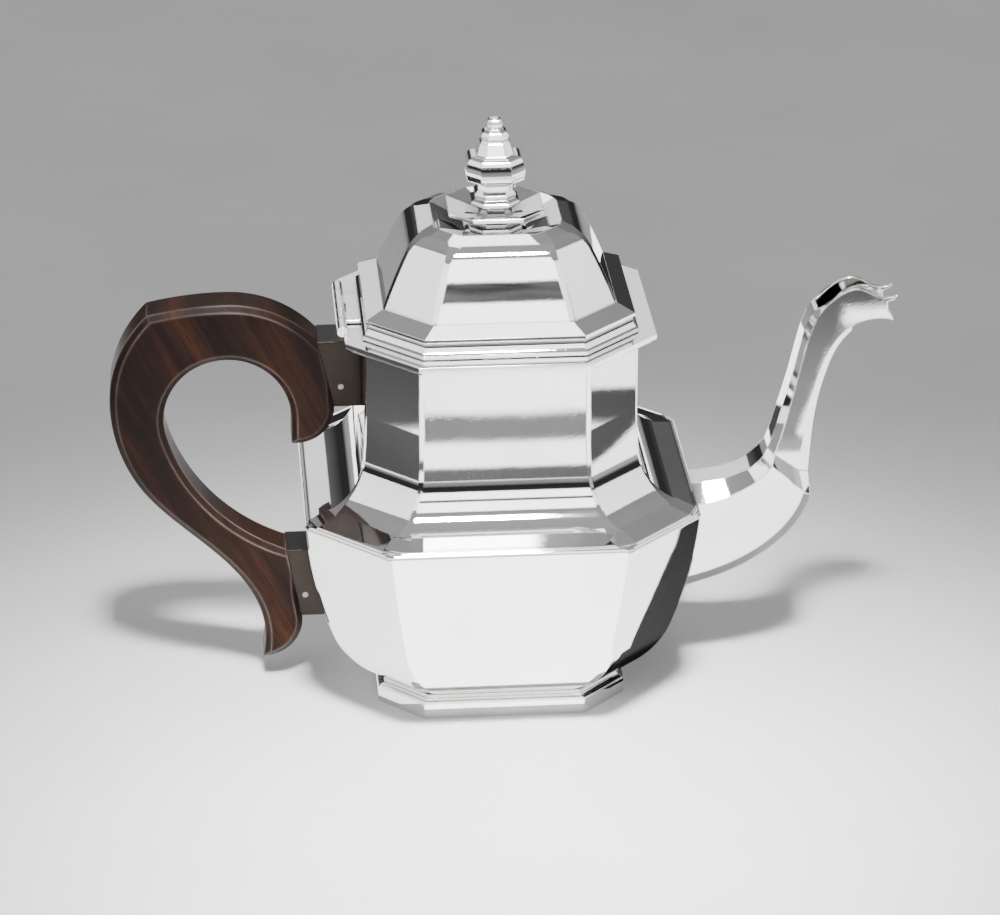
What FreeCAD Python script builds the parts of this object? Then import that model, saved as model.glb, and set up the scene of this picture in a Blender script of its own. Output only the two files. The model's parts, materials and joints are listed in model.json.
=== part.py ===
import FreeCAD, Part
import os
from math import atan, atan2, cos, hypot, radians, sin, tan

# Coffee pot of sheet silver with a wooden handle, in millimetres.
# The origin is the centre of the foot's underside. +Z is up and +X points to the spout.
# Every level of the pot is a square with cut corners: four wide faces and four corner facets.
# A profile is a list of stations (half width, height, bow), from the bottom up. The bow is how far
# the stretch to the next station swells away from its chord, outwards if positive.

# Ratio of a corner facet's distance from the axis to a wide face's, for each group of pieces
body_facet = 1.135
foot_facet = 1.165
rim_facet = 1.10
lid_facet = 1.124
finial_facet = 1.08

# Sheet and clearances
body_wall = 1.1
lid_wall = 1.0
spout_wall = 1.1
edge_easing = 0.35
socket_wall = 1.0
tenon_gap = 0.1
lid_gap = 0.3
bezel_gap = 0.8
pin_gap = 0.05

# Foot
foot_overhang = 2.6
foot_band = 5.4
foot_height = 7.6
foot_step = 0.8
foot_bore_inset = 1.8

# Belly
belly_bottom_half = 38.5
belly_turn_half = 55.7
belly_turn_rise = 19.9
belly_height = 63.5
ledge_half = 64.6
belly_low_bow = 2.6
belly_high_bow = 1.5
ledge_round = 1.6
ledge_round_bow = 0.3

# Neck
ledge_width = 8.6
ledge_rise = 2.3
flare_foot_bow = 2.45
flare_rise = 16.9
flare_swell = 0.8
flare_top_bow = 0.2
flare_top_rise = 32.9
neck_half = 44.4
neck_height = 59.0

# Rim moulding
rim_overhang = 5.9
rim_height = 4.7
rim_lip = 1.7
rim_groove_depth = 2.2
rim_groove = 0.5
rim_fillet_overhang = 4.2
rim_fillet = 1.0
rim_cove_bow = 0.5

# Lid
lid_overhang = 0.1
lid_band = 1.2
lid_cove_inset = 1.7
lid_cove_rise = 4.4
lid_cove_bow = 0.5
lid_lip_inset = 0.9
lid_lip_rise = 5.3
lid_lip_height = 6.3
lid_bore_inset = 3.8
dome_foot_inset = 6.6
dome_foot_rise = 8.9
dome_side_inset = 14.6
dome_side_rise = 26.6
dome_side_bow = 0.3
dome_shoulder_inset = 19.9
dome_shoulder_rise = 31.4
dome_shoulder_bow = 0.63
dome_crown_inset = 23.6
dome_crown_rise = 32.7
dome_seat_half = 10.0
dome_seat_rise = 28.6
bezel_depth = 6.0

# Hinge
barrel_radius = 1.7
barrel_length = 41.0
hinge_pin_radius = 0.75
hinge_pin_proud = 0.3
hinge_beyond_rim = 0.5
hinge_above_rim = 0.9
knuckle_count = 5
knuckle_gap = 0.3
strap_thickness = 1.1

# Finial, heights above the seat on the lid
finial_base_half = 8.6
finial_base_height = 1.3
finial_neck_half = 6.2
finial_neck_height = 2.1
saucer_half = 15.4
saucer_rise = 2.5
saucer_thickness = 1.4
stem_half = 5.5
low_ring_half = 7.5
low_ring = 1.8
high_ring_half = 6.3
high_ring = 1.6
stem_foot = 2.0
stem_top = 2.9
knop_half = 9.1
knop_bevel = 1.8
knop_side = 5.6
knop_side_bow = 0.4
knop_crown = 2.5
cap_half = 6.0
cap_waist_half = 4.8
cap_waist = 3.8
cap_shoulder_half = 4.4
cap_shoulder = 2.4
cap_neck_half = 2.0
cap_neck = 2.0
button_half = 2.3
button_height = 3.6
stud_radius = 1.6
stud_grip = 9.0
stud_tail = 1.2
washer_radius = 5.0
washer_thickness = 0.8
nut_across_flats = 6.0
nut_height = 2.6

# Handle and sockets
handle_thickness = 16.0
handle_bevel = 2.0
socket_width = 15.0
lower_reach = 5.8
lower_drop = 23.6
lower_shoulder = (4.9, -24.2)
handle_spread = (11.8, 74.8)
upper_shoulder = (5.2, -23.0)
handle_pin_radius = 1.0
handle_pin_proud = 0.15
upper_pin_offset = (2.2, 7.0)
lower_pin_offset = (1.2, 7.6)
loop_radius = 20.9
loop_offset = (-29.9, -26.8)
crest_offset = (-29.4, 13.3)
corner_offset = (-55.2, 10.4)
back_offset = (-38.3, 3.0)
elbow_offset = (-29.2, -24.4)
arm_offset = (-29.4, 5.0)
ankle_offset = (-17.8, 10.8)
tail_offset = (-13.3, -15.5)
tail_bulge_offset = (-4.0, -11.8)
hook_offset = (-14.3, -13.3)
hook_bulge_offset = (-3.6, -9.6)
top_bow = 0.73
crest_bow = 3.5
loop_turn = 15.0
lead_above = 3.5
lead_below = 8.0

# Spout, measured from the ledge's edge on the end face: rails of its upper and lower lines
base_upper_rail = [(7.4, -4.2), (17.4, -1.6), (24.9, 4.4)]
base_lower_rail = [(7.4, -40.4), (24.4, -32.8), (37.4, -20.6), (41.6, -11.6)]
shaft_upper_rail = [(26.4, 6.9), (31.5, 23.9), (35.0, 37.9), (39.9, 54.4), (50.4, 65.9), (68.4, 66.9)]
shaft_lower_rail = [(40.6, -3.5), (42.7, 20.9), (46.0, 34.4), (52.4, 46.6), (59.6, 50.8), (68.4, 51.0)]
mouth_rim = [(38.4, 54.9), (44.0, 57.8), (48.8, 61.6), (55.0, 63.5), (60.4, 61.0), (68.1, 60.9)]
mouth_end = [(68.1, 60.9), (67.2, 59.3), (64.7, 58.4), (64.9, 55.8), (66.8, 52.8), (66.5, 48.0)]
root_depth = 0.7
root_upper_drop = 4.8
root_lower_drop = 44.1
root_half = 12.3
base_taper = 0.1
shaft_half = 6.3
shaft_taper = 0.03
base_upper_facet = (0.55, 0.40)
base_lower_facet = (0.49, 0.58)
shaft_upper_facet = (0.38, 0.38)
shaft_lower_facet = (0.75, 0.12)
side_overrun = 2.0
base_sections = 5
shaft_sections = 9
strainer_from_ledge = 5.0
strainer_thickness = 0.8
strainer_hole_radius = 1.5
strainer_rows = 4
strainer_columns = 2
strainer_pitch = 6.0

foot_half = belly_bottom_half + foot_overhang
flare_half = neck_half + flare_swell
rim_half = neck_half + rim_overhang
lid_half = neck_half + lid_overhang
dome_foot_half = neck_half - dome_foot_inset
foot_z = foot_height
ledge_z = foot_z + belly_height
rim_z = ledge_z + neck_height
lid_z = rim_z + lid_gap
seat_z = lid_z + dome_seat_rise
hinge_x = -(rim_half + hinge_beyond_rim)
hinge_z = rim_z + hinge_above_rim
far = 4 * ledge_half
through = 1.0


def vec(x, z, y=0.0):
    return FreeCAD.Vector(x, y, z)


def half_span(start, end, bow):
    """Angle between a bowed stretch's chord and its tangent at either end."""
    return 2 * atan(2 * bow / hypot(end[0] - start[0], end[1] - start[1]))


def bowed_edge(start, end, bow):
    """A line, or the arc that swells to the right of the way from start to end by bow."""
    if bow == 0:
        return Part.makeLine(vec(*start), vec(*end))
    length = hypot(end[0] - start[0], end[1] - start[1])
    middle_x = (start[0] + end[0]) / 2 + bow * (end[1] - start[1]) / length
    middle_z = (start[1] + end[1]) / 2 - bow * (end[0] - start[0]) / length
    return Part.Arc(vec(*start), vec(middle_x, middle_z), vec(*end)).toShape()


def inset(stations, depth):
    """The same profile moved towards the axis by depth, with its ends kept at their heights."""
    angles = []
    for (r0, z0, bow), (r1, z1, _) in zip(stations, stations[1:]):
        chord = atan2(z1 - z0, r1 - r0)
        span = half_span((r0, z0), (r1, z1), bow)
        angles.append((chord - span, chord + span))
    moved = []
    for index, (r, z, bow) in enumerate(stations):
        if index == 0:
            moved.append((r - depth / sin(angles[0][0]), z))
        elif index == len(stations) - 1:
            moved.append((r - depth / sin(angles[-1][1]), z))
        else:
            middle = (angles[index - 1][1] + angles[index][0]) / 2
            reach = depth / cos((angles[index][0] - angles[index - 1][1]) / 2)
            moved.append((r - reach * sin(middle), z + reach * cos(middle)))
    result = []
    for index, (r, z) in enumerate(moved):
        bow = 0
        if index < len(moved) - 1 and stations[index][2]:
            span = half_span(stations[index], stations[index + 1], stations[index][2])
            length = hypot(moved[index + 1][0] - r, moved[index + 1][1] - z)
            bow = length * tan(span / 2) / 2
        result.append((r, z, bow))
    return result


def prism(stations, angle):
    """The profile and its mirror image as one face, run through the pot and turned about its axis."""
    right = [bowed_edge(a[:2], b[:2], a[2]) for a, b in zip(stations, stations[1:])]
    mirrored = [(-r, z, bow) for r, z, bow in stations]
    left = [bowed_edge(a[:2], b[:2], -a[2]) for a, b in zip(mirrored, mirrored[1:])]
    bottom = Part.makeLine(vec(*mirrored[0][:2]), vec(*stations[0][:2]))
    top = Part.makeLine(vec(*stations[-1][:2]), vec(*mirrored[-1][:2]))
    wire = Part.Wire(Part.__sortEdges__(right + left + [bottom, top]))
    solid = Part.Face(wire).extrude(FreeCAD.Vector(0, far, 0))
    solid.translate(FreeCAD.Vector(0, -far / 2, 0))
    solid.rotate(FreeCAD.Vector(0, 0, 0), FreeCAD.Vector(0, 0, 1), angle)
    return solid


def octagon(stations, facet, depth=0.0, overrun=0.0, easing=0.0):
    """The solid inside four wide faces and four corner facets, moved inwards by depth.

    With an easing, the eight edges between them are planed off by that much.
    """
    edge_reach = cos(radians(22.5)) + (facet * 2 ** 0.5 - 1) * sin(radians(22.5))
    cuts = [(1.0, depth, (0, 90)), (facet, depth, (45, 135))]
    if easing:
        cuts.append((edge_reach, depth + easing, (22.5, 67.5, 112.5, 157.5)))
    prisms = []
    for ratio, inwards, angles in cuts:
        profile = [(r * ratio, z, bow) for r, z, bow in stations]
        if inwards:
            profile = inset(profile, inwards)
        if overrun:
            profile = lengthen(profile, overrun)
        prisms += [prism(profile, angle) for angle in angles]
    solid = prisms[0]
    for other in prisms[1:]:
        solid = solid.common(other)
    return solid


def lengthen(stations, overrun):
    """The profile with a straight stretch added above and below."""
    first, last = stations[0], stations[-1]
    return [(first[0], first[1] - overrun, 0)] + stations + [(last[0], last[1] + overrun, 0)]


def straight(half, low, high):
    return [(half, low, 0), (half, high, 0)]


belly_profile = [
    (belly_bottom_half, foot_z, belly_low_bow),
    (belly_turn_half, foot_z + belly_turn_rise, belly_high_bow),
    (ledge_half, ledge_z - ledge_round, ledge_round_bow),
    (ledge_half - ledge_round / 2, ledge_z, 0),
]
neck_profile = [
    (ledge_half - ledge_round / 2, ledge_z, 0),
    (ledge_half - ledge_width, ledge_z + ledge_rise, -flare_foot_bow),
    (flare_half, ledge_z + flare_rise, -flare_top_bow),
    (neck_half, ledge_z + flare_top_rise, 0),
    (neck_half, rim_z, 0),
]


def foot_ring():
    profile = [
        (foot_half, 0, 0),
        (foot_half, foot_band, 0),
        (foot_half - foot_step, foot_band + foot_step / 2, -foot_step / 2),
        (belly_bottom_half, foot_z, 0),
    ]
    bore = octagon(straight(belly_bottom_half - foot_bore_inset, -through, foot_z + through), body_facet)
    return octagon(profile, foot_facet).cut(bore)


def belly(spout_bore):
    space = octagon(belly_profile, body_facet, body_wall, through)
    floor = Part.makeBox(far, far, foot_z + body_wall, FreeCAD.Vector(-far / 2, -far / 2, 0))
    outside = octagon(belly_profile, body_facet, easing=edge_easing)
    return outside.cut(space.cut(floor)).cut(spout_bore)


def neck():
    outside = octagon(neck_profile, body_facet, easing=edge_easing)
    return outside.cut(octagon(neck_profile, body_facet, body_wall, through))


def rim_moulding():
    fillet_half = neck_half + rim_fillet_overhang
    groove_half = rim_half - rim_groove_depth
    lip_z = rim_z - rim_lip
    groove_z = lip_z - rim_groove
    fillet_z = groove_z - rim_fillet
    profile = [
        (neck_half, rim_z - rim_height, -rim_cove_bow),
        (fillet_half - rim_groove_depth / 2, fillet_z, 0),
        (fillet_half, fillet_z, 0),
        (fillet_half, groove_z, 0),
        (groove_half, groove_z, 0),
        (groove_half, lip_z, 0),
        (rim_half, lip_z, 0),
        (rim_half, rim_z, 0),
    ]
    tube = straight(neck_half, rim_z - rim_height - through, rim_z + through)
    bore = octagon(tube, body_facet, easing=edge_easing)
    collar = octagon(profile, rim_facet).cut(bore)
    for low, high, on_body in knuckle_spans():
        seat = barrel_radius if on_body else barrel_radius + knuckle_gap
        collar = collar.cut(hinge_cylinder(seat, low, high))
    return collar


def lid_profile():
    return [
        (lid_half, lid_z, 0),
        (lid_half, lid_z + lid_band, -lid_cove_bow),
        (neck_half - lid_cove_inset, lid_z + lid_cove_rise, 0),
        (neck_half - lid_lip_inset, lid_z + lid_lip_rise, 0),
        (neck_half - lid_lip_inset, lid_z + lid_lip_height, 0),
        (dome_foot_half, lid_z + dome_foot_rise, 0),
    ]


def lid_rim():
    bore_half = neck_half - lid_bore_inset
    bore = [
        (bore_half, lid_z - through, 0),
        (bore_half, lid_z + lid_lip_rise, 0),
        (dome_foot_half - lid_wall, lid_z + dome_foot_rise - lid_wall, 0),
        (dome_foot_half - lid_wall, lid_z + dome_foot_rise + through, 0),
    ]
    return octagon(lid_profile(), lid_facet).cut(octagon(bore, lid_facet))


def lid_dome():
    crown_half = neck_half - dome_crown_inset
    crown_z = lid_z + dome_crown_rise
    profile = [
        (dome_foot_half, lid_z + dome_foot_rise, dome_side_bow),
        (neck_half - dome_side_inset, lid_z + dome_side_rise, dome_shoulder_bow),
        (neck_half - dome_shoulder_inset, lid_z + dome_shoulder_rise, 0),
        (crown_half, crown_z, 0),
    ]
    dish = [(dome_seat_half, seat_z, 0), (crown_half, crown_z, 0)]
    below_dish = [(r, z - lid_wall, bow) for r, z, bow in dish]
    cover = octagon(profile, lid_facet, easing=edge_easing).cut(octagon(dish, lid_facet))
    space = octagon(profile, lid_facet, lid_wall, through).cut(octagon(below_dish, lid_facet))
    above = FreeCAD.Vector(-far / 2, -far / 2, crown_z - lid_wall)
    space = space.cut(Part.makeBox(far, far, far, above))
    return cover.cut(space).cut(stud_cylinder(stud_radius, seat_z - far, far))


def lid_bezel():
    opening = straight(neck_half, lid_z - bezel_depth, lid_z)
    outer = octagon(opening, body_facet, body_wall + bezel_gap)
    return outer.cut(octagon(opening, body_facet, body_wall + bezel_gap + lid_wall, through))


def hinge_cylinder(radius, low, high):
    return Part.makeCylinder(
        radius, high - low, FreeCAD.Vector(hinge_x, low, hinge_z), FreeCAD.Vector(0, 1, 0)
    )


def knuckle_spans():
    """Start, end and owner of each knuckle along the hinge, the outermost ones on the body."""
    length = barrel_length / knuckle_count
    for index in range(knuckle_count):
        low = -barrel_length / 2 + index * length
        yield low, low + length, index % 2 == 0


def body_knuckles():
    pieces = []
    for low, high, on_body in knuckle_spans():
        if on_body:
            knuckle = hinge_cylinder(barrel_radius, low, high)
            pieces.append(knuckle.cut(hinge_cylinder(hinge_pin_radius, low - through, high + through)))
    return Part.makeCompound(pieces)


def lid_knuckles():
    """Two knuckles and the strap that carries them on the lid's edge."""
    strap_x = hinge_x + barrel_radius + knuckle_gap
    own = [(low, high) for low, high, on_body in knuckle_spans() if not on_body]
    spans = [(low + knuckle_gap, high - knuckle_gap) for low, high in own]
    first, last = spans[0][0], spans[-1][1]
    strap_z = lid_z + pin_gap
    solid = Part.makeBox(
        -lid_half - strap_x, last - first, strap_thickness, FreeCAD.Vector(strap_x, first, strap_z)
    )
    for low, high in spans:
        tongue = Part.makeBox(
            strap_x - hinge_x, high - low, strap_thickness, FreeCAD.Vector(hinge_x, low, strap_z)
        )
        solid = solid.fuse([tongue, hinge_cylinder(barrel_radius, low, high)])
    for low, high in spans:
        solid = solid.cut(hinge_cylinder(hinge_pin_radius + pin_gap, low - through, high + through))
    return solid.removeSplitter()


def hinge_pin():
    half = barrel_length / 2 + hinge_pin_proud
    return hinge_cylinder(hinge_pin_radius, -half, half)


def stud_cylinder(radius, low, high):
    return Part.makeCylinder(radius, high - low, FreeCAD.Vector(0, 0, low))


saucer_z = seat_z + finial_base_height + finial_neck_height
stem_z = saucer_z + saucer_thickness


def finial_base():
    profile = [
        (finial_base_half, seat_z, finial_base_height / 4),
        (finial_base_half - finial_base_height, seat_z + finial_base_height, 0),
        (finial_neck_half, seat_z + finial_base_height, 0),
        (finial_neck_half, saucer_z, 0),
    ]
    return octagon(profile, finial_facet).cut(stud_cylinder(stud_radius, seat_z - through, stem_z + through))


def finial_saucer():
    under = [(finial_neck_half, saucer_z, 0), (saucer_half, saucer_z + saucer_rise, 0)]
    over = [(r, z + saucer_thickness, bow) for r, z, bow in under]
    plate = octagon(under + [over[-1]], finial_facet).cut(octagon(over, finial_facet))
    return plate.cut(stud_cylinder(stud_radius, saucer_z - through, stem_z + through))


def finial_baluster():
    low_ring_z = stem_z + stem_foot + low_ring
    high_ring_z = low_ring_z + low_ring + high_ring
    knop_z = high_ring_z + stem_top
    side_z = knop_z + knop_bevel
    crown_z = side_z + knop_side
    cap_z = crown_z + knop_crown
    waist_z = cap_z + cap_waist
    shoulder_z = waist_z + cap_shoulder
    neck_z = shoulder_z + cap_neck
    profile = [
        (stem_half, stem_z, 0),
        (stem_half, stem_z + stem_foot, 0),
        (low_ring_half, low_ring_z - low_ring / 2, low_ring / 4),
        (low_ring_half, low_ring_z + low_ring / 2, 0),
        (high_ring_half, low_ring_z + low_ring, high_ring / 4),
        (high_ring_half, high_ring_z, 0),
        (stem_half, high_ring_z + stem_top / 3, 0),
        (stem_half, knop_z, 0),
        (knop_half, side_z, knop_side_bow),
        (knop_half, crown_z, knop_crown / 3),
        (cap_half, cap_z, 0),
        (cap_waist_half, waist_z, -cap_waist / 8),
        (cap_shoulder_half, shoulder_z, cap_neck / 4),
        (cap_neck_half, neck_z, 0),
        (button_half, neck_z + button_height / 3, button_half / 3),
        (button_half / 3, neck_z + button_height, 0),
    ]
    bore = stud_cylinder(stud_radius, stem_z - through, stem_z + stud_grip)
    return octagon(profile, finial_facet).cut(bore)


def lid_underside():
    return seat_z - lid_wall


def finial_stud():
    low = lid_underside() - washer_thickness - nut_height - stud_tail
    return stud_cylinder(stud_radius, low, stem_z + stud_grip)


def finial_washer():
    top = lid_underside()
    disc = stud_cylinder(washer_radius, top - washer_thickness, top)
    return disc.cut(stud_cylinder(stud_radius, top - far, top + through))


def finial_nut():
    top = lid_underside() - washer_thickness
    corner = nut_across_flats / 2 / cos(radians(30))
    points = [
        FreeCAD.Vector(corner * cos(radians(60 * i)), corner * sin(radians(60 * i)), top - nut_height)
        for i in range(7)
    ]
    body = Part.Face(Part.makePolygon(points)).extrude(FreeCAD.Vector(0, 0, nut_height))
    return body.cut(stud_cylinder(stud_radius, top - far, top + through))


def spout_point(offset):
    return FreeCAD.Vector(ledge_half + offset[0], 0, ledge_z + offset[1])


def rail(offsets, count):
    curve = Part.BSplineCurve()
    curve.interpolate([spout_point(offset) for offset in offsets])
    return curve.discretize(Number=count)


def base_half_at(x):
    return root_half - base_taper * (x - belly_turn_half)


def shaft_half_at(x):
    return shaft_half - shaft_taper * (x - ledge_half - shaft_lower_rail[0][0])


def spout_section(upper, lower, half_at, facets, wall, spread=0):
    """Eight-sided wire between an upper and a lower rail point, moved inwards by wall.

    Its facets run on past the flat sides by spread.
    """
    down = (lower - upper).normalize()
    corner_loss = wall * (2 - 2 ** 0.5)
    above = half_at(upper.x) * facets[0] - corner_loss
    below = half_at(lower.x) * facets[1] - corner_loss
    top = upper + down * wall
    bottom = lower - down * wall
    near = [
        (top, above),
        (top + down * (above + spread), -spread),
        (bottom - down * (below + spread), -spread),
        (bottom, below),
    ]
    across = FreeCAD.Vector(0, 1, 0)
    halves = [half_at(point.x) - wall - narrowing for point, narrowing in near]
    left = [point - across * half for (point, _), half in zip(near, halves)]
    right = [point + across * half for (point, _), half in zip(near, halves)]
    points = left + right[::-1]
    return Part.makePolygon(points + points[:1])


def between(ends, share):
    return ends[0] + (ends[1] - ends[0]) * share


def base_wires(wall, spread=0):
    root_x = belly_turn_half - root_depth - ledge_half
    upper = rail([(root_x, -root_upper_drop)] + base_upper_rail, base_sections)
    lower = rail([(root_x, -root_lower_drop)] + base_lower_rail, base_sections)
    for index, (high, low) in enumerate(zip(upper, lower)):
        share = index / (base_sections - 1)
        facets = between(base_upper_facet, share), between(base_lower_facet, share)
        yield spout_section(high, low, base_half_at, facets, wall, spread)


def shaft_wires(wall, spread=0):
    """Sections of the shaft. Its lower facets fade out towards the lip."""
    pairs = zip(rail(shaft_upper_rail, shaft_sections), rail(shaft_lower_rail, shaft_sections))
    for index, (high, low) in enumerate(pairs):
        share = index / (shaft_sections - 1)
        facets = between(shaft_upper_facet, share), between(shaft_lower_facet, share ** 3)
        yield spout_section(high, low, shaft_half_at, facets, wall, spread)


def between_sides(solid, half_at, wall):
    """The part of a solid between the spout's flat, tapering sides."""
    box = solid.BoundBox
    ends = [box.XMin - through, box.XMax + through]
    low = box.ZMin - through
    near = [FreeCAD.Vector(x, wall - half_at(x), low) for x in ends]
    away = [FreeCAD.Vector(x, half_at(x) - wall, low) for x in reversed(ends)]
    wedge = Part.Face(Part.makePolygon(near + away + near[:1]))
    return solid.common(wedge.extrude(FreeCAD.Vector(0, 0, box.ZLength + 2 * through)))


def base_solid(wall):
    """The swelling root of the spout and the band above its elbow, as a filled solid."""
    swell = Part.makeLoft(list(base_wires(wall, side_overrun)), True, False)
    elbow = list(base_wires(wall))[-1]
    band = Part.makeLoft([elbow, next(shaft_wires(wall))], True, True)
    return between_sides(swell, base_half_at, wall).fuse(band)


def shaft_solid(wall):
    tube = Part.makeLoft(list(shaft_wires(wall, side_overrun)), True, False)
    return between_sides(tube, shaft_half_at, wall)


def spout_base(bore):
    return base_solid(0).cut(bore).cut(octagon(belly_profile, body_facet))


def mouth_cutter():
    """What is cut away above the lobed rim of the mouth and in front of its notched end."""
    rim = Part.BSplineCurve()
    rim.interpolate([spout_point(offset) for offset in mouth_rim])
    start = spout_point(mouth_rim[0])
    corners = [spout_point(offset) for offset in mouth_end]
    outside = FreeCAD.Vector(far / 4, 0, 0)
    above = FreeCAD.Vector(0, 0, far / 8)
    corners += [corners[-1] + outside, corners[0] + above + outside, start + above, start]
    edges = [rim.toShape()]
    edges += [Part.makeLine(a, b) for a, b in zip(corners, corners[1:])]
    face = Part.Face(Part.Wire(Part.__sortEdges__(edges)))
    cutter = face.extrude(FreeCAD.Vector(0, far / 2, 0))
    cutter.translate(FreeCAD.Vector(0, -far / 4, 0))
    return cutter


def spout_shaft():
    return shaft_solid(0).cut(shaft_solid(spout_wall)).cut(mouth_cutter())


def spout_strainer(bore):
    x = ledge_half + strainer_from_ledge
    slab = Part.makeBox(strainer_thickness, far, far, FreeCAD.Vector(x, -far / 2, ledge_z - far / 2))
    plate = bore.common(slab)
    middle = plate.BoundBox.Center
    for row in range(strainer_rows):
        for column in range(strainer_columns):
            y = (column - (strainer_columns - 1) / 2) * strainer_pitch
            z = middle.z + (row - (strainer_rows - 1) / 2) * strainer_pitch
            start = FreeCAD.Vector(x - through, y, z)
            hole = Part.makeCylinder(strainer_hole_radius, 3 * through, start, FreeCAD.Vector(1, 0, 0))
            plate = plate.cut(hole)
    return plate


def shifted(point, offset):
    return (point[0] + offset[0], point[1] + offset[1])


lower_top = (-(ledge_half + lower_reach), ledge_z - lower_drop)
lower_bottom = shifted(lower_top, lower_shoulder)
upper_top = shifted(lower_top, handle_spread)
upper_bottom = shifted(upper_top, upper_shoulder)


def plate_along_y(points, width):
    """A closed outline in the XZ plane as a plate of the given width about the middle plane."""
    outline = [vec(*p) for p in points]
    plate = Part.Face(Part.makePolygon(outline + outline[:1])).extrude(FreeCAD.Vector(0, width, 0))
    plate.translate(FreeCAD.Vector(0, -width / 2, 0))
    return plate


def socket_block(top, bottom, margin, overrun, wall_profile):
    """The space of a socket, less a margin all round, from the pot's wall to past the shoulder."""
    points = [
        (top[0] - overrun, top[1] - margin),
        (bottom[0] - overrun, bottom[1] + margin),
        (-neck_half / 2, bottom[1] + margin),
        (-neck_half / 2, top[1] - margin),
    ]
    block = plate_along_y(points, socket_width - 2 * margin)
    return block.cut(octagon(wall_profile, body_facet, -margin))


def cross_pin(corner, offset, length):
    x, z = shifted(corner, offset)
    return Part.makeCylinder(
        handle_pin_radius, length, FreeCAD.Vector(x, -length / 2, z), FreeCAD.Vector(0, 1, 0)
    )


sockets = {
    "upper": (upper_top, upper_bottom, neck_profile, upper_pin_offset),
    "lower": (lower_top, lower_bottom, belly_profile, lower_pin_offset),
}


def socket(name):
    top, bottom, profile, pin_offset = sockets[name]
    block = socket_block(top, bottom, 0, 0, profile)
    space = socket_block(top, bottom, socket_wall, through, profile)
    return block.cut(space).cut(cross_pin(bottom, pin_offset, handle_thickness))


def handle_pin(name):
    bottom, pin_offset = sockets[name][1], sockets[name][3]
    return cross_pin(bottom, pin_offset, socket_width + 2 * handle_pin_proud)


def arc_through(start, middle, end):
    return Part.Arc(vec(*start), vec(*middle), vec(*end)).toShape()


def run_on(edge, length):
    """The point reached by going straight on past the start of an edge."""
    start = edge.valueAt(edge.FirstParameter)
    return start - edge.tangentAt(edge.FirstParameter) * length


def handle_outline():
    """Outer line, hook, round loop, arm and tail of the handle, run on a little into both sockets."""
    corner = shifted(upper_top, corner_offset)
    crest = shifted(upper_top, crest_offset)
    hook = shifted(upper_bottom, hook_offset)
    centre = shifted(upper_top, loop_offset)
    loop_right = shifted(centre, (loop_radius, 0))
    loop_top = shifted(centre, (0, loop_radius))
    turn = radians(loop_turn - 180)
    loop_left = shifted(centre, (loop_radius * cos(turn), loop_radius * sin(turn)))
    tail = shifted(lower_bottom, tail_offset)
    back = Part.BSplineCurve()
    back.interpolate([
        vec(*tail),
        vec(*shifted(lower_bottom, ankle_offset)),
        vec(*shifted(lower_top, arm_offset)),
        vec(*shifted(centre, elbow_offset)),
        vec(*shifted(centre, back_offset)),
        vec(*corner),
    ])
    brow = bowed_edge(upper_top, crest, crest_bow)
    chin = arc_through(upper_bottom, shifted(upper_bottom, hook_bulge_offset), hook)
    run = atan2(lower_top[1] - loop_left[1], lower_top[0] - loop_left[0])
    length = hypot(lower_top[1] - loop_left[1], lower_top[0] - loop_left[0])
    swing = run - turn - radians(90)
    arm = bowed_edge(lower_top, loop_left, -length * tan(swing / 2) / 2)
    heel = arc_through(lower_bottom, shifted(lower_bottom, tail_bulge_offset), tail)
    edges = [
        bowed_edge(crest, corner, top_bow),
        Part.makeLine(vec(*hook), vec(*loop_right)),
        arc_through(loop_right, loop_top, loop_left),
        back.toShape(),
    ]
    for above, below in ((brow, chin), (arm, heel)):
        high, low = run_on(above, lead_above), run_on(below, lead_below)
        edges += [
            above,
            Part.makeLine(above.valueAt(above.FirstParameter), high),
            Part.makeLine(high, low),
            Part.makeLine(low, below.valueAt(below.FirstParameter)),
            below,
        ]
    return edges


def handle():
    """The wood, bevelled along its outline, cut off square at each socket, with a tenon inside it."""
    wire = Part.Wire(Part.__sortEdges__(handle_outline()))
    plate = Part.Face(wire).extrude(FreeCAD.Vector(0, handle_thickness, 0))
    plate.translate(FreeCAD.Vector(0, -handle_thickness / 2, 0))
    outline = [edge for edge in plate.Edges if edge.BoundBox.YLength < pin_gap]
    grip = plate.makeChamfer(handle_bevel, outline)
    for top, bottom, profile, pin_offset in sockets.values():
        corners = [top, bottom, (-neck_half, bottom[1]), (-neck_half, top[1])]
        room = plate_along_y(corners, 2 * handle_thickness)
        tenon = socket_block(top, bottom, socket_wall + tenon_gap, through, profile)
        grip = grip.cut(room).fuse(tenon).cut(cross_pin(bottom, pin_offset, handle_thickness))
    return grip


def main():
    os.makedirs("parts", exist_ok=True)
    bore = base_solid(spout_wall)
    nodes = {
        "foot_ring": foot_ring(),
        "belly": belly(bore),
        "neck": neck(),
        "rim_moulding": rim_moulding(),
        "spout_base": spout_base(bore),
        "spout_shaft": spout_shaft(),
        "spout_strainer": spout_strainer(bore),
        "upper_socket": socket("upper"),
        "lower_socket": socket("lower"),
        "handle": handle(),
        "upper_handle_pin": handle_pin("upper"),
        "lower_handle_pin": handle_pin("lower"),
        "body_knuckles": body_knuckles(),
        "hinge_pin": hinge_pin(),
        "lid_rim": lid_rim(),
        "lid_dome": lid_dome(),
        "lid_bezel": lid_bezel(),
        "lid_knuckles": lid_knuckles(),
        "finial_base": finial_base(),
        "finial_saucer": finial_saucer(),
        "finial_baluster": finial_baluster(),
        "finial_stud": finial_stud(),
        "finial_washer": finial_washer(),
        "finial_nut": finial_nut(),
    }
    for name, shape in nodes.items():
        shape.exportStep(f"parts/{name}.step")
        print(name, len(shape.Solids), shape.isValid(), round(shape.Volume, 1))


main()
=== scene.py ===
import json
from math import cos, pi, radians, sin

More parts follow.
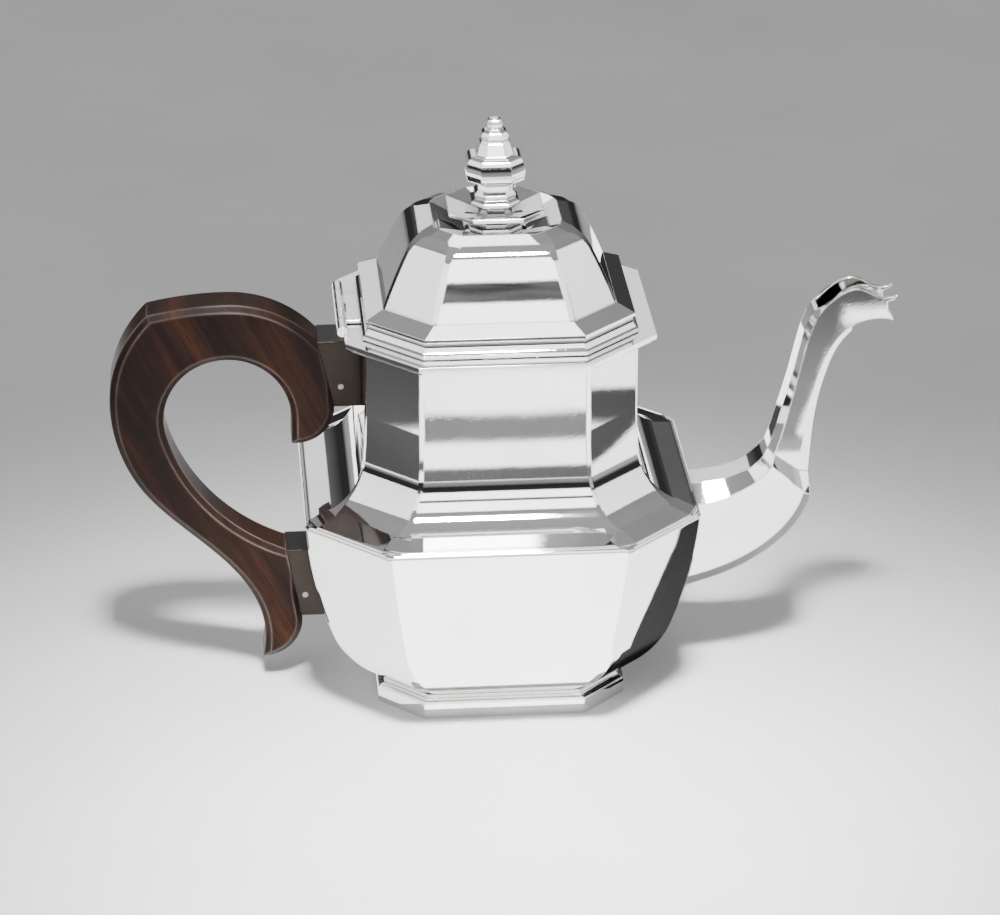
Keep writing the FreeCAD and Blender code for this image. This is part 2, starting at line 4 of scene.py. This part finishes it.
import bpy
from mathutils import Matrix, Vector

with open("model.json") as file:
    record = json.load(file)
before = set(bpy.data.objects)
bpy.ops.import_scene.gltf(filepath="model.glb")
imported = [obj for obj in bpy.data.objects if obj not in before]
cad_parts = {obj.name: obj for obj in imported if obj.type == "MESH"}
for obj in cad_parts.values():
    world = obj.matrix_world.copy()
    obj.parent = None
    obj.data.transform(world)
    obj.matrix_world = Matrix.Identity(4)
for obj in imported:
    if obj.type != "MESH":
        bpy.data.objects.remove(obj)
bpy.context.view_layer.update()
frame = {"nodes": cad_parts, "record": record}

# Lengths are in metres. Azimuth and elevation are in degrees: azimuth 0 is the near side of the pot,
# and azimuth 90 is the spout's side.
POT_MIDDLE = Vector((0, 0, 0.1))
LOW_PANEL_HEIGHT = 0.002
CARD_HEIGHT = 0.004

# The Mix node's sockets for colours. Sockets for other types share their names, so these go by number.
MIX_FACTOR, MIX_FIRST, MIX_SECOND, MIX_RESULT = 0, 6, 7, 2


class Shader:
    """A material with its principled shader, and short calls to add and join nodes."""

    def __init__(self, name):
        self.material = bpy.data.materials.new(name)
        self.material.use_nodes = True
        self.tree = self.material.node_tree
        self.surface = self.tree.nodes["Principled BSDF"]

    def feed(self, socket, value):
        """Link another node's output to a socket, or set the socket to a constant."""
        if hasattr(value, "is_output"):
            self.tree.links.new(value, socket)
        else:
            socket.default_value = value

    def node(self, kind, inputs=None, **settings):
        made = self.tree.nodes.new(kind)
        for key, value in settings.items():
            setattr(made, key, value)
        for key, value in (inputs or {}).items():
            self.feed(made.inputs[key], value)
        return made

    def set(self, **values):
        """Feed the principled shader's sockets, named with _ for each space."""
        for key, value in values.items():
            self.feed(self.surface.inputs[key.replace("_", " ")], value)

    def place(self, turn=(0, 0, 0), stretch=(1, 1, 1)):
        """Object coordinates, turned by angles in radians and then stretched."""
        coordinates = self.node("ShaderNodeTexCoord").outputs["Object"]
        turned = self.node("ShaderNodeMapping", {"Vector": coordinates, "Rotation": turn})
        inputs = {"Vector": turned.outputs["Vector"], "Scale": stretch}
        return self.node("ShaderNodeMapping", inputs).outputs["Vector"]

    def noise(self, vector, scale, detail, roughness=0.55):
        inputs = {"Vector": vector, "Scale": scale, "Detail": detail, "Roughness": roughness}
        return self.node("ShaderNodeTexNoise", inputs).outputs["Fac"]

    def ramp(self, factor, *stops):
        """Colour ramp from stops of (position, colour or grey level)."""
        made = self.node("ShaderNodeValToRGB", {"Fac": factor})
        elements = made.color_ramp.elements
        while len(elements) < len(stops):
            elements.new(0.5)
        for element, (position, value) in zip(elements, stops):
            element.position = position
            element.color = (*value, 1) if isinstance(value, tuple) else (value, value, value, 1)
        return made.outputs["Color"]

    def mix(self, factor, first, second, blend="MIX"):
        """Mix of two colours, where the second may be a constant."""
        if isinstance(second, tuple):
            second = (*second, 1)
        inputs = {MIX_FACTOR: factor, MIX_FIRST: first, MIX_SECOND: second}
        made = self.node("ShaderNodeMix", inputs, data_type="RGBA", blend_type=blend)
        return made.outputs[MIX_RESULT]

    def span(self, factor, low, high):
        inputs = {"Value": factor, "To Min": low, "To Max": high}
        return self.node("ShaderNodeMapRange", inputs).outputs["Result"]

    def bump(self, height, strength, distance, normal=None):
        inputs = {"Height": height, "Strength": strength, "Distance": distance}
        if normal:
            inputs["Normal"] = normal
        return self.node("ShaderNodeBump", inputs).outputs["Normal"]

    def softened(self, radius):
        """Normal that turns smoothly across edges."""
        return self.node("ShaderNodeBevel", {"Radius": radius}, samples=4).outputs["Normal"]


def silver(name, bright, dull, smooth, rough, edge=0.0007):
    """Hand-polished sheet silver: cloudy tarnish, recesses darkened by painted shade and tarnish, faint
    waviness, fine rubbing marks and softened edges. Colour runs from dull to bright, and roughness from
    smooth to rough."""
    recess_depth, recess_shade = 0.006, 0.45
    shader = Shader(name)
    clouds = shader.noise(shader.place(), scale=26.0, detail=5.0)
    rubbing = shader.place(turn=(0.3, 0.5, 0.2), stretch=(260.0, 260.0, 3200.0))
    marks = shader.noise(rubbing, scale=1.0, detail=3.0, roughness=0.6)
    waves = shader.noise(shader.place(), scale=34.0, detail=2.0)
    # Painted shade, together with tarnish: ambient occlusion darkens the colour in recesses.
    occlusion = shader.node("ShaderNodeAmbientOcclusion", {"Distance": recess_depth}, samples=6)
    recess_shade_and_tarnish = shader.ramp(occlusion.outputs["AO"], (0.25, 1.0), (0.8, 0.0))
    tint = shader.ramp(clouds, (0.32, dull), (0.62, bright))
    tint = shader.mix(recess_shade_and_tarnish, tint, tuple(part * recess_shade for part in dull))
    wear = shader.mix(0.5, clouds, marks)
    shader.set(Base_Color=tint, Metallic=1.0, Roughness=shader.span(wear, smooth, rough))
    normal = shader.bump(waves, strength=0.07, distance=0.0004, normal=shader.softened(edge))
    normal = shader.bump(marks, strength=0.012, distance=0.0002, normal=normal)
    shader.set(Normal=normal)
    return shader.material


def dark_wood():
    """Oiled hardwood sawn across the handle: streaked diagonal grain, open pores, and edges painted
    lighter as a highlight.
    """
    pore_colour = (0.008, 0.004, 0.003)
    painted_highlight_colour = (0.125, 0.100, 0.088)
    edge_radius = 0.0012
    shader = Shader("dark_wood")

    def along_grain(stretch):
        return shader.place(turn=(0.0, radians(27.0), 0.0), stretch=stretch)

    wander = shader.noise(along_grain((1.0, 1.0, 0.25)), scale=45.0, detail=3.0)
    streaks = shader.noise(along_grain((620.0, 110.0, 26.0)), scale=1.0, detail=6.0, roughness=0.62)
    bands = shader.noise(along_grain((170.0, 28.0, 9.0)), scale=1.0, detail=4.0, roughness=0.5)
    pores = shader.noise(along_grain((2600.0, 2600.0, 130.0)), scale=1.0, detail=2.0, roughness=0.5)
    figure = shader.mix(0.35, bands, streaks)
    figure = shader.mix(0.18, figure, wander)
    tint = shader.ramp(
        figure,
        (0.38, (0.0045, 0.0032, 0.0028)),
        (0.47, (0.0090, 0.0050, 0.0038)),
        (0.55, (0.0160, 0.0072, 0.0048)),
        (0.66, (0.0340, 0.0128, 0.0061)),
    )
    tint = shader.mix(shader.ramp(pores, (0.56, 0.0), (0.66, 0.75)), tint, pore_colour)

    # Painted highlight, in patches, along the edges. An edge is where the softened normal leaves the
    # surface's own.
    normals = {0: shader.softened(edge_radius), 1: shader.node("ShaderNodeNewGeometry").outputs["Normal"]}
    likeness = shader.node("ShaderNodeVectorMath", normals, operation="DOT_PRODUCT").outputs["Value"]
    edges = shader.ramp(likeness, (0.93, 1.0), (0.985, 0.0))
    patchy = shader.ramp(wander, (0.36, 0.15), (0.62, 0.9))
    tint = shader.mix(shader.mix(1.0, edges, patchy, "MULTIPLY"), tint, painted_highlight_colour)

    roughness = shader.span(streaks, 0.36, 0.55)
    shader.set(Base_Color=tint, Roughness=roughness, Specular_IOR_Level=0.05)
    normal = shader.bump(streaks, strength=0.18, distance=0.0004)
    normal = shader.bump(pores, strength=0.12, distance=0.0002, normal=normal)
    shader.set(Normal=normal)
    return shader.material


def finish_nodes():
    """Give each CAD node its slot's finish. The two rims keep crisper edges, and the pins are duller."""
    polish = ((0.96, 0.955, 0.945), (0.86, 0.85, 0.83), 0.006, 0.05)
    tarnish = ((0.022, 0.0185, 0.016), (0.011, 0.009, 0.0075), 0.24, 0.48)
    finishes = {
        "silver": silver("silver", *polish),
        "aged_silver": silver("aged_silver", *tarnish),
        "dark_wood": dark_wood(),
    }
    moulded_silver = silver("moulded_silver", *polish, edge=0.0002)
    dulled_pin = silver("dulled_pin", (0.30, 0.26, 0.22), (0.15, 0.12, 0.10), 0.18, 0.40)
    special = {
        "upper_handle_pin": dulled_pin,
        "lower_handle_pin": dulled_pin,
        "lid_rim": moulded_silver,
        "rim_moulding": moulded_silver,
    }
    for subpart in frame["record"]["subparts"]:
        node, slot = subpart["node"], subpart["material_slot"]
        materials = frame["nodes"][node].data.materials
        materials.clear()
        materials.append(special.get(node, finishes[slot]))


def floor():
    """A pale matt sheet that the pot stands on."""
    bpy.ops.mesh.primitive_plane_add(size=12.0, location=(0, 0, 0))
    sheet = bpy.context.object
    sheet.name = "floor"
    shader = Shader("floor")
    mottle = shader.noise(shader.place(), scale=9.0, detail=5.0)
    tint = shader.ramp(mottle, (0.3, 0.48), (0.7, 0.52))
    shader.set(Base_Color=tint, Roughness=0.6, Specular_IOR_Level=0.0)
    sheet.data.materials.append(shader.material)


def area_light(name, size, radiance, spread=180.0, mirrored_only=False):
    """A soft lamp that the camera doesn't see. One that is only mirrored lights no matt surface."""
    data = bpy.data.lights.new(name, "AREA")
    data.shape = "RECTANGLE"
    data.size, data.size_y = size
    data.energy = radiance * pi * size[0] * size[1]
    data.spread = radians(spread)
    lamp = bpy.data.objects.new(name, data)
    lamp.visible_camera = False
    lamp.visible_diffuse = not mirrored_only
    bpy.context.scene.collection.objects.link(lamp)
    return lamp


def outwards(azimuth, elevation):
    """Direction from the pot."""
    turn, lift = radians(azimuth), radians(elevation)
    return Vector((sin(turn) * cos(lift), -cos(turn) * cos(lift), sin(lift)))


def panel(name, azimuth, elevation, distance, size, radiance, mirrored_only=False):
    """A soft light panel that faces the pot."""
    away = outwards(azimuth, elevation)
    lamp = area_light(name, size, radiance, mirrored_only=mirrored_only)
    lamp.location = POT_MIDDLE + away * distance
    lamp.rotation_euler = away.to_track_quat("Z", "Y").to_euler()


def pool_panel():
    """A narrow lamp overhead that makes a pool of light on the floor before the pot."""
    lamp = area_light("pool_panel", size=(0.22, 0.16), radiance=22.0, spread=24.0)
    lamp.location = (0, -0.55, 1.2)
    pool_centre = Vector((0, -0.12, 0))
    lamp.rotation_euler = (lamp.location - pool_centre).to_track_quat("Z", "Y").to_euler()


def low_panel(name, x_span, y_span, radiance):
    """A soft light panel that lies on the floor and faces up, and that only the silver mirrors."""
    (x0, x1), (y0, y1) = x_span, y_span
    lamp = area_light(name, (x1 - x0, y1 - y0), radiance, mirrored_only=True)
    lamp.location = ((x0 + x1) / 2, (y0 + y1) / 2, LOW_PANEL_HEIGHT)
    lamp.rotation_euler = (pi, 0, 0)


def low_panels():
    """Two rings of low panels with a dark gap between them, and three panels close to the belly."""
    near, gap, far, end = 0.185, 0.262, 0.292, 0.60
    far_depth, far_left = 0.47, -0.367
    for side, name in ((-1, "front"), (1, "back")):
        low_panel(name + "_near_panel", (-gap, gap), sorted((side * near, side * gap)), 3.0)
        low_panel(name + "_far_panel", (-end, end), sorted((side * far, side * far_depth)), 3.0)
    low_panel("right_near_panel", (near, gap), (-near, near), 2.4)
    low_panel("right_far_panel", (far, end), (-far, far), 2.4)
    low_panel("left_near_panel", (-gap, -near), (-near, near), 2.4)
    low_panel("left_far_panel", (-end, far_left), (-far, far), 2.4)
    low_panel("belly_front_panel", (-0.034, 0.050), (-0.185, -0.044), 4.0)
    low_panel("belly_left_panel", (-0.175, -0.034), (-0.185, 0.040), 2.2)
    low_panel("belly_right_panel", (0.050, 0.175), (-0.170, -0.008), 2.6)


def cut(*corners):
    """Corners of a slanted card that lies on the floor."""
    return [Vector((x, y, CARD_HEIGHT)) for x, y in corners]


def laid(x_span, y_span):
    """Corners of a rectangular card that lies on the floor."""
    (x0, x1), (y0, y1) = x_span, y_span
    return cut((x0, y0), (x1, y0), (x1, y1), (x0, y1))


def hung(azimuth, elevation, distance, size):
    """Corners of a card that hangs facing the pot."""
    away = outwards(azimuth, elevation)
    centre = POT_MIDDLE + away * distance
    across = Vector((0, 0, 1)).cross(away).normalized() * size[0] / 2
    up = away.cross(across).normalized() * size[1] / 2
    return [centre - across - up, centre + across - up, centre + across + up, centre - across + up]


def cards(name, sheets, level, specular=0.5, mottle_scale=400.0, mottle_low=0.9):
    """Four-cornered sheets of card that only the silver mirrors: the camera doesn't see them, and they
    cast no shadow. Their grey runs from mottle_low times the level up to the level."""
    mesh = bpy.data.meshes.new(name)
    corners = [corner for sheet in sheets for corner in sheet]
    mesh.from_pydata(corners, [], [tuple(range(4 * n, 4 * n + 4)) for n in range(len(sheets))])
    made = bpy.data.objects.new(name, mesh)
    bpy.context.scene.collection.objects.link(made)
    shader = Shader(name)
    mottle = shader.noise(shader.place(), mottle_scale, detail=2.0)
    tint = shader.ramp(mottle, (0.3, mottle_low * level), (0.7, level))
    shader.set(Base_Color=tint, Roughness=0.9, Specular_IOR_Level=specular)
    mesh.materials.append(shader.material)
    made.visible_camera = made.visible_shadow = made.visible_diffuse = False


def all_cards():
    """Dark cards for the neck's bands, a black one for the belly's right facet, grey ones for the
    spout, and a mottled one for the dome."""
    dark = (
        laid((-0.367, 0.110), (-0.288, -0.262)),
        laid((-0.367, 0.292), (0.262, 0.292)),
        laid((0.262, 0.292), (-0.262, 0.262)),
        laid((-0.367, -0.262), (-0.262, 0.262)),
        laid((-0.30, 0.30), (-0.405, -0.345)),
    )
    black = (cut((0.034, -0.038), (0.170, -0.022), (0.170, 0.0), (0.045, 0.0)),)
    grey = (
        cut((0.100, -0.172), (0.1382, -0.178), (0.186, -0.302), (0.150, -0.302)),
        laid((0.150, 0.250), (-0.345, -0.302)),
    )
    window = (hung(5, 27.5, 1.9, (0.60, 0.17)),)
    cards("dark_cards", dark, 0.05)
    cards("black_cards", black, 0.015, specular=0.0)
    cards("grey_cards", grey, 0.10, specular=0.0)
    cards("window_cards", window, 0.60, mottle_scale=16.0, mottle_low=0.08)


def room():
    """Dim surroundings, darkest at the horizon, so that the silver has something dark to mirror."""
    world = bpy.data.worlds.new("room")
    bpy.context.scene.world = world
    world.use_nodes = True
    tree = world.node_tree
    direction = tree.nodes.new("ShaderNodeTexCoord").outputs["Generated"]
    height = tree.nodes.new("ShaderNodeSeparateXYZ")
    tree.links.new(direction, height.inputs[0])
    ramp = tree.nodes.new("ShaderNodeValToRGB")
    tree.links.new(height.outputs["Z"], ramp.inputs["Fac"])
    horizon, overhead = ramp.color_ramp.elements
    horizon.position, horizon.color = 0.12, (0.03, 0.03, 0.032, 1)
    overhead.position, overhead.color = 0.9, (0.45, 0.45, 0.46, 1)
    tree.links.new(ramp.outputs["Color"], tree.nodes["Background"].inputs["Color"])


def lights():
    """Soft panels round the pot, then what lies on the floor for the silver to mirror."""
    panel("front_panel", 0, 30, 2.0, (1.9, 1.40), 4.0, mirrored_only=True)
    panel("front_left_panel", -55, 30, 2.0, (1.0, 1.1), 2.4)
    panel("front_right_panel", 52, 30, 2.0, (0.8, 0.8), 2.0)
    panel("ledge_panel", 180, 63, 1.3, (0.42, 0.9), 3.2)
    panel("left_panel", -94, 26, 1.6, (0.9, 1.15), 1.9)
    panel("right_panel", 90, 26, 1.6, (0.9, 1.05), 1.9)
    panel("back_panel", 180, 22, 2.2, (1.4, 0.5), 1.2)
    panel("elbow_panel", 45, 3.2, 0.85, (0.40, 0.30), 0.6, mirrored_only=True)
    pool_panel()
    low_panels()
    all_cards()
    room()


def camera():
    """The camera at the photo's angle, as solved from the pot's eight-sided outlines."""
    azimuth, elevation, distance = -4.6, 24.3, 1.354
    aim_aside, aim_height = 0.00176, 0.0756
    turn = radians(azimuth)
    target = Vector((aim_aside * cos(turn), aim_aside * sin(turn), aim_height))
    back = outwards(azimuth, elevation)
    data = bpy.data.cameras.new("camera")
    data.lens = 146.2
    data.sensor_width = 36.0
    data.clip_start = 0.01
    eye = bpy.data.objects.new("camera", data)
    bpy.context.scene.collection.objects.link(eye)
    eye.location = target + back * distance
    eye.rotation_euler = (-back).to_track_quat("-Z", "Y").to_euler()
    bpy.context.scene.camera = eye


finish_nodes()
floor()
lights()
camera()
